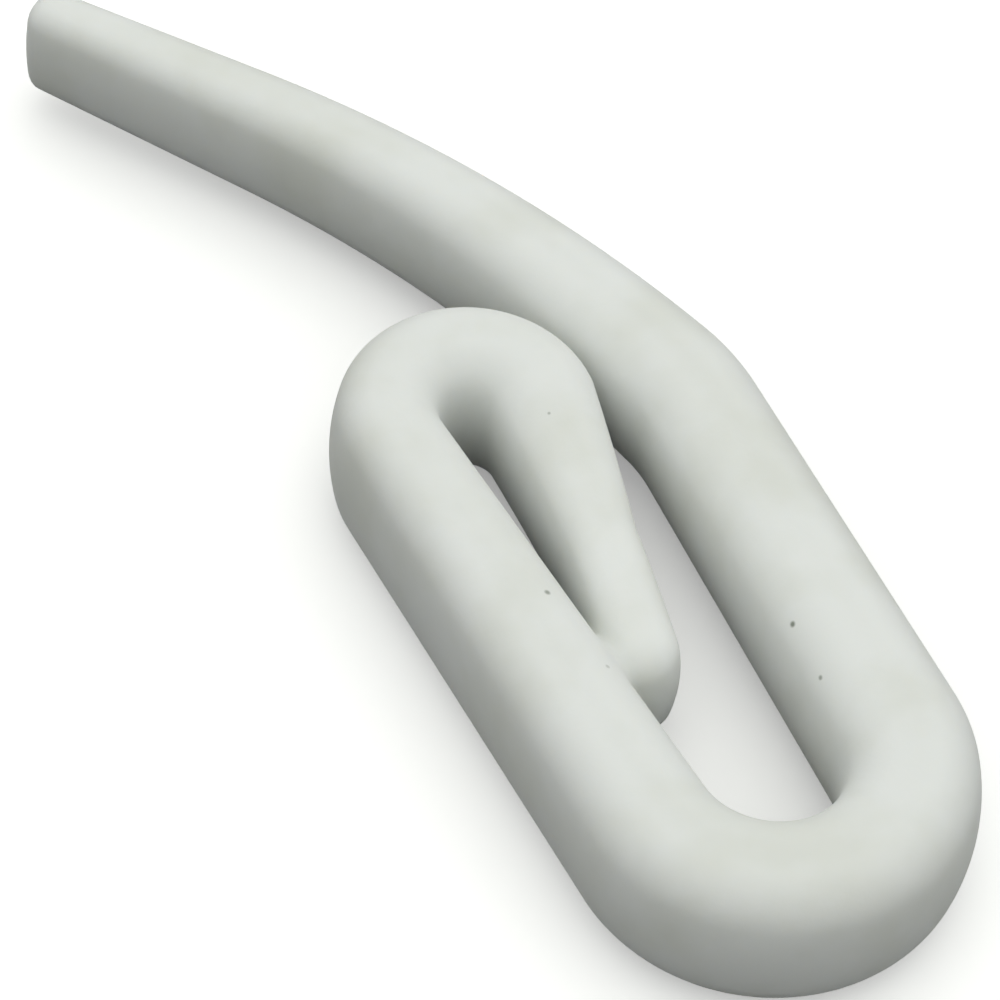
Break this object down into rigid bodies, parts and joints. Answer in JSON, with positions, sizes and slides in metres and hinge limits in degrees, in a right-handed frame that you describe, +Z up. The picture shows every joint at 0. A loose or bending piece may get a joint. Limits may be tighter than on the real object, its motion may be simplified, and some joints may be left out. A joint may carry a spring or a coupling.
{
  "type": "curtain hook",
  "caption": "Flat moulded plastic curtain hook: a tapered bowed arm, a long leg, a U bend, and a back leg that closes on itself in a small eye.",
  "frame": {"origin": "under the middle of the hook's outline, on the surface that it lies on", "axes": "+X along the long leg towards the arm's tip, +Y from the long leg to the back leg, +Z up, square to the plane of the bends"},
  "size_m": [0.0308, 0.011, 0.0039],
  "materials": {
    "moulded_nylon": "as moulded, white, soft sheen"
  },
  "bodies": {
    "root": {"curtain_hook": "moulded_nylon"}
  },
  "joints": []
}
